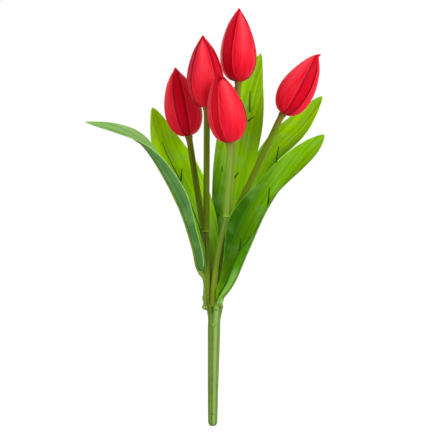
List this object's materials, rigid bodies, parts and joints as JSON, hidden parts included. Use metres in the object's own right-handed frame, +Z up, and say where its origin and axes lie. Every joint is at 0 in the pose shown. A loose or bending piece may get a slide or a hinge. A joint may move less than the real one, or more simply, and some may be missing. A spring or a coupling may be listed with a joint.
{
  "type": "artificial tulip bouquet",
  "caption": "Artificial tulip bouquet: closed red buds on bendable wired branches and folded green leaves on ribs, all held by one moulded handle.",
  "frame": {"origin": "middle of the flat end of the handle's foot", "axes": "+Z up along the handle to the flowers, -Y to the front, +X to the right as seen from the front"},
  "size_m": [0.1996, 0.1061, 0.3508],
  "materials": {
    "handle_plastic": "satin green moulding",
    "branch_plastic": "satin green moulding",
    "stem_plastic": "satin green tube",
    "leaf_rib_plastic": "satin green moulding",
    "leaf_blade_plastic": "satin green sheet with fine veins",
    "outer_petal": "matte red soft moulding",
    "inner_petal": "matte dark red soft moulding",
    "foam": "white foam",
    "steel_wire": "drawn wire"
  },
  "bodies": {
    "handle": {"handle": "handle_plastic", "handle_core_wire": "steel_wire"},
    "front_branch": {"front_branch": "branch_plastic", "front_wire": "steel_wire"},
    "front_flower": {"front_stem": "stem_plastic", "front_outer_petals": "outer_petal", "front_inner_petals": "inner_petal", "front_bud_core": "foam"},
    "right_branch": {"right_branch": "branch_plastic", "right_wire": "steel_wire"},
    "right_flower": {"right_stem": "stem_plastic", "right_outer_petals": "outer_petal", "right_inner_petals": "inner_petal", "right_bud_core": "foam"},
    "back_branch": {"back_branch": "branch_plastic", "back_wire": "steel_wire"},
    "back_flower": {"back_stem": "stem_plastic", "back_outer_petals": "outer_petal", "back_inner_petals": "inner_petal", "back_bud_core": "foam"},
    "left_branch": {"left_branch": "branch_plastic", "left_wire": "steel_wire"},
    "left_flower": {"left_stem": "stem_plastic", "left_outer_petals": "outer_petal", "left_inner_petals": "inner_petal", "left_bud_core": "foam"},
    "centre_branch": {"centre_branch": "branch_plastic", "centre_wire": "steel_wire"},
    "centre_flower": {"centre_stem": "stem_plastic", "centre_outer_petals": "outer_petal", "centre_inner_petals": "inner_petal", "centre_bud_core": "foam"},
    "arching_leaf": {"arching_leaf_rib": "leaf_rib_plastic", "arching_leaf_blade": "leaf_blade_plastic"},
    "left_leaf": {"left_leaf_rib": "leaf_rib_plastic", "left_leaf_blade": "leaf_blade_plastic"},
    "tall_leaf": {"tall_leaf_rib": "leaf_rib_plastic", "tall_leaf_blade": "leaf_blade_plastic"},
    "right_leaf": {"right_leaf_rib": "leaf_rib_plastic", "right_leaf_blade": "leaf_blade_plastic"},
    "low_leaf": {"low_leaf_rib": "leaf_rib_plastic", "low_leaf_blade": "leaf_blade_plastic"}
  },
  "joints": [
    {"name": "front_bend", "type": "hinge", "parent": "handle", "child": "front_branch", "pos_m": [0.0008, -0.00458, 0.102], "axis": [0.9063, -0.4226, 0], "range_deg": [-1, 12]},
    {"name": "front_turn", "type": "hinge", "parent": "front_branch", "child": "front_flower", "pos_m": [0.0111, -0.0201, 0.176], "axis": [0.0689, -0.1675, 0.9835], "continuous": true},
    {"name": "right_bend", "type": "hinge", "parent": "handle", "child": "right_branch", "pos_m": [0.00543, -0.00179, 0.102], "axis": [-0.1736, 0.9848, 0], "range_deg": [-2, 15]},
    {"name": "right_turn", "type": "hinge", "parent": "right_branch", "child": "right_flower", "pos_m": [0.0174, 0.0009, 0.175], "axis": [0.4256, -0.0178, 0.9047], "continuous": true},
    {"name": "back_bend", "type": "hinge", "parent": "handle", "child": "back_branch", "pos_m": [0.00421, 0.00347, 0.102], "axis": [-0.342, 0.9397, 0], "range_deg": [-1.5, 7]},
    {"name": "back_turn", "type": "hinge", "parent": "back_branch", "child": "back_flower", "pos_m": [0.0129, 0.0111, 0.172], "axis": [0.084, 0.0673, 0.9942], "continuous": true},
    {"name": "left_bend", "type": "hinge", "parent": "handle", "child": "left_branch", "pos_m": [-0.00117, 0.00394, 0.102], "axis": [0, -1, 0], "range_deg": [-2, 6]},
    {"name": "left_turn", "type": "hinge", "parent": "left_branch", "child": "left_flower", "pos_m": [-0.0081, 0.009, 0.166], "axis": [-0.1514, 0.1452, 0.9777], "continuous": true},
    {"name": "centre_bend", "type": "hinge", "parent": "handle", "child": "centre_branch", "pos_m": [-0.00328, -0.00103, 0.102], "axis": [0, -1, 0], "range_deg": [-2, 4]},
    {"name": "centre_turn", "type": "hinge", "parent": "centre_branch", "child": "centre_flower", "pos_m": [-0.0054, -0.0021, 0.163], "axis": [0.005, -0.0303, 0.9995], "continuous": true},
    {"name": "arching_swivel", "type": "hinge", "parent": "handle", "child": "arching_leaf", "pos_m": [-0.006, -0.00504, 0.0997], "axis": [0.8192, 0.5736, 0], "range_deg": [-10, 8]},
    {"name": "left_swivel", "type": "hinge", "parent": "handle", "child": "left_leaf", "pos_m": [-0.00689, 0.00344, 0.0997], "axis": [-0.9205, 0.3907, 0], "range_deg": [-5, 2.5]},
    {"name": "tall_swivel", "type": "hinge", "parent": "handle", "child": "tall_leaf", "pos_m": [0.00043, 0.00876, 0.0997], "axis": [-0.0872, 0.9962, 0], "range_deg": [-6, 1.5]},
    {"name": "right_swivel", "type": "hinge", "parent": "handle", "child": "right_leaf", "pos_m": [0.00685, 0.00674, 0.0997], "axis": [-0.6428, -0.766, 0], "range_deg": [-15, 15]},
    {"name": "low_swivel", "type": "hinge", "parent": "handle", "child": "low_leaf", "pos_m": [0.00273, -0.00866, 0.0997], "axis": [-0.1736, 0.9848, 0], "range_deg": [-1, 20]}
  ]
}
